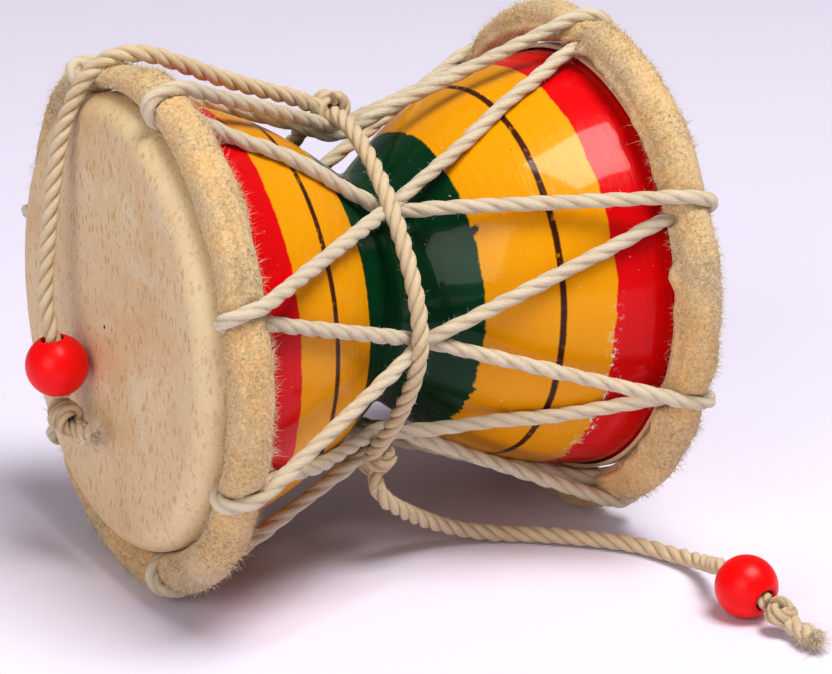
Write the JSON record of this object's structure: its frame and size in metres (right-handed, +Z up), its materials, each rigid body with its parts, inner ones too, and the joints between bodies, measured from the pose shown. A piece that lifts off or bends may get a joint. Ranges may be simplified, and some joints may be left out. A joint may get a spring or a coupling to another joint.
{
  "type": "damaru drum",
  "caption": "Small hourglass hand drum lying on its side, painted in bands, with skin heads, hide hoops, zigzag cotton lacing and beaded striker cords.",
  "frame": {"origin": "on the surface the drum rests on, below the middle of the drum", "axes": "+X along the drum's axis towards its right head, +Z up, and the right striker cord lies out towards -Y"},
  "size_m": [0.1223, 0.1436, 0.1059],
  "materials": {
    "painted_wood": "gloss lacquer in bands of green, yellow and red",
    "head_skin": "smooth goat skin, cream with brown flecks",
    "hoop_hide": "rough rawhide with its hairy flesh side out",
    "lacing_cotton": "soft fuzzy cotton cord",
    "striker_cotton": "three-ply twisted cotton cord",
    "bead_plastic": "semi-gloss red"
  },
  "bodies": {
    "root": {"shell": "painted_wood", "left_head": "head_skin", "right_head": "head_skin", "left_hoop": "hoop_hide", "right_hoop": "hoop_hide", "lacing_cord": "lacing_cotton", "waist_cord": "striker_cotton", "left_striker_cord": "striker_cotton", "right_striker_cord": "striker_cotton", "left_bead": "bead_plastic", "right_bead": "bead_plastic", "left_end_knot": "striker_cotton", "right_end_knot": "striker_cotton"}
  },
  "joints": []
}
